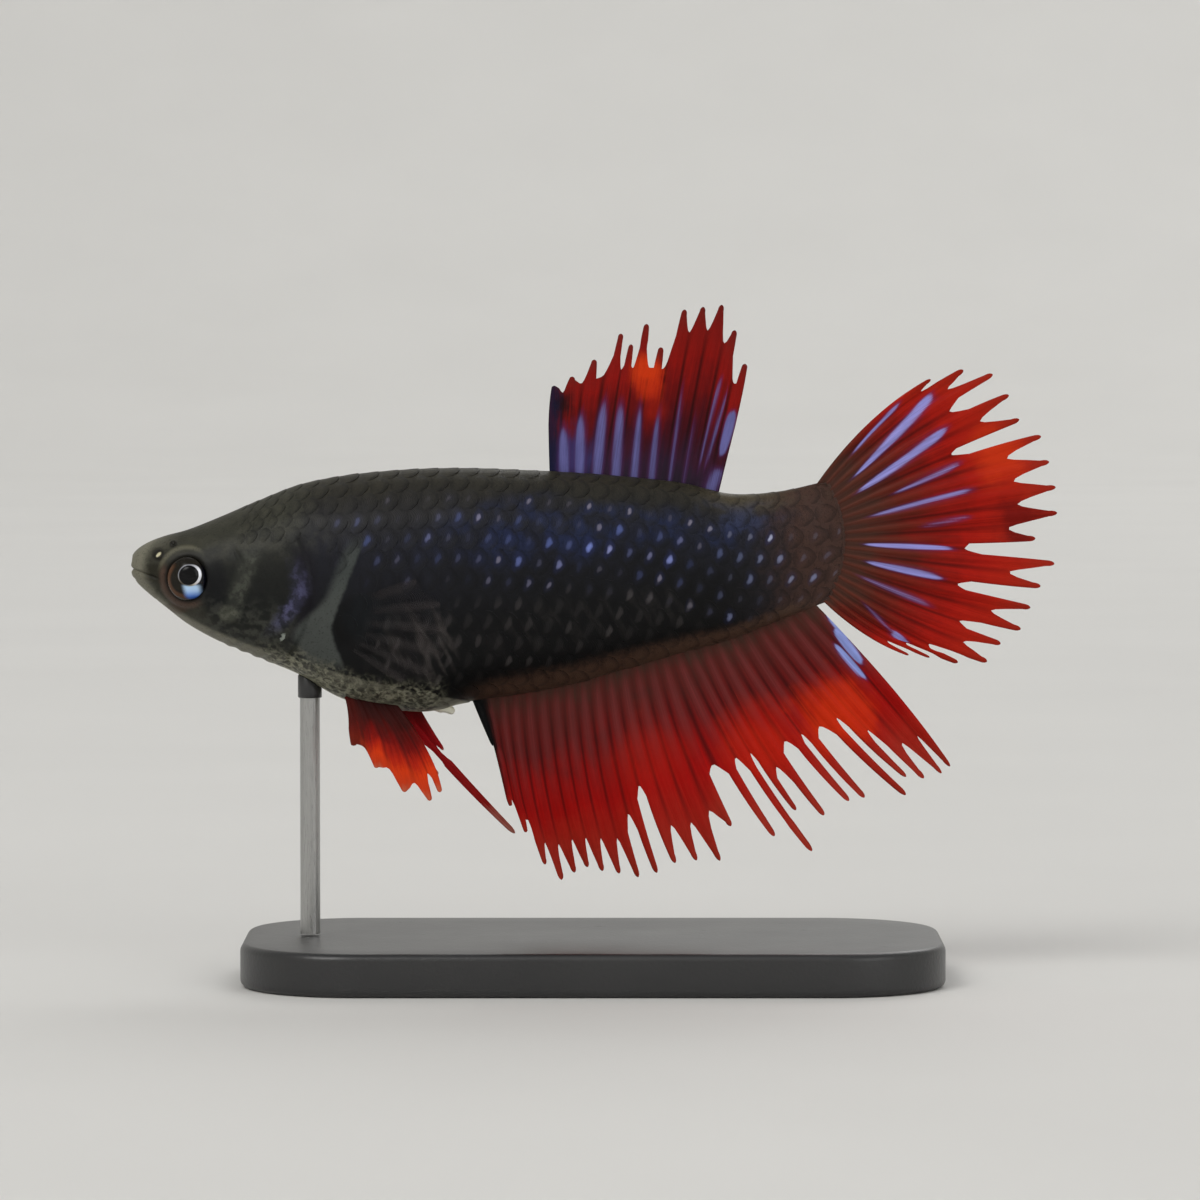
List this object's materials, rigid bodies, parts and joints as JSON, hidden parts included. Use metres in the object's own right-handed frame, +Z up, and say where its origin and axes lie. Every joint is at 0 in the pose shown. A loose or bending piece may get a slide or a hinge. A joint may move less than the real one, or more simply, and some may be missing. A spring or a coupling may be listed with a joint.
{
  "type": "betta fish model",
  "caption": "Life-size still model of a female crowntail betta, dark scaled body with red spiky fins, held level by a thin rod over a flat rounded base.",
  "frame": {"origin": "underside of the stand's base, below the middle of the overall length from snout to tail tip", "axes": "+X from the snout toward the tail fin, +Y toward the fish's right side, +Z up"},
  "size_m": [0.0555, 0.022, 0.0405],
  "materials": {
    "skin": "dark scaled skin, satin, olive on the back with blue-grey flecks on the flank",
    "eye": "wet gloss, black pupil in a dark iris with a pale ring",
    "fin_red": "satin red web with blue-violet streaks near the body",
    "fin_clear": "nearly clear web with fine rays",
    "stand_base": "plain black, satin",
    "stand_rod": "brushed"
  },
  "bodies": {
    "root": {"head": "skin", "lower_jaw": "skin", "gill_cover_left": "skin", "gill_cover_right": "skin", "trunk": "skin", "tail_stalk": "skin", "eye_left": "eye", "eye_right": "eye", "dorsal_fin": "fin_red", "anal_fin": "fin_red", "caudal_fin": "fin_red", "pelvic_fin_left": "fin_red", "pelvic_fin_right": "fin_red", "pectoral_fin_left": "fin_clear", "pectoral_fin_right": "fin_clear", "stand_base": "stand_base", "stand_rod": "stand_rod"}
  },
  "joints": []
}
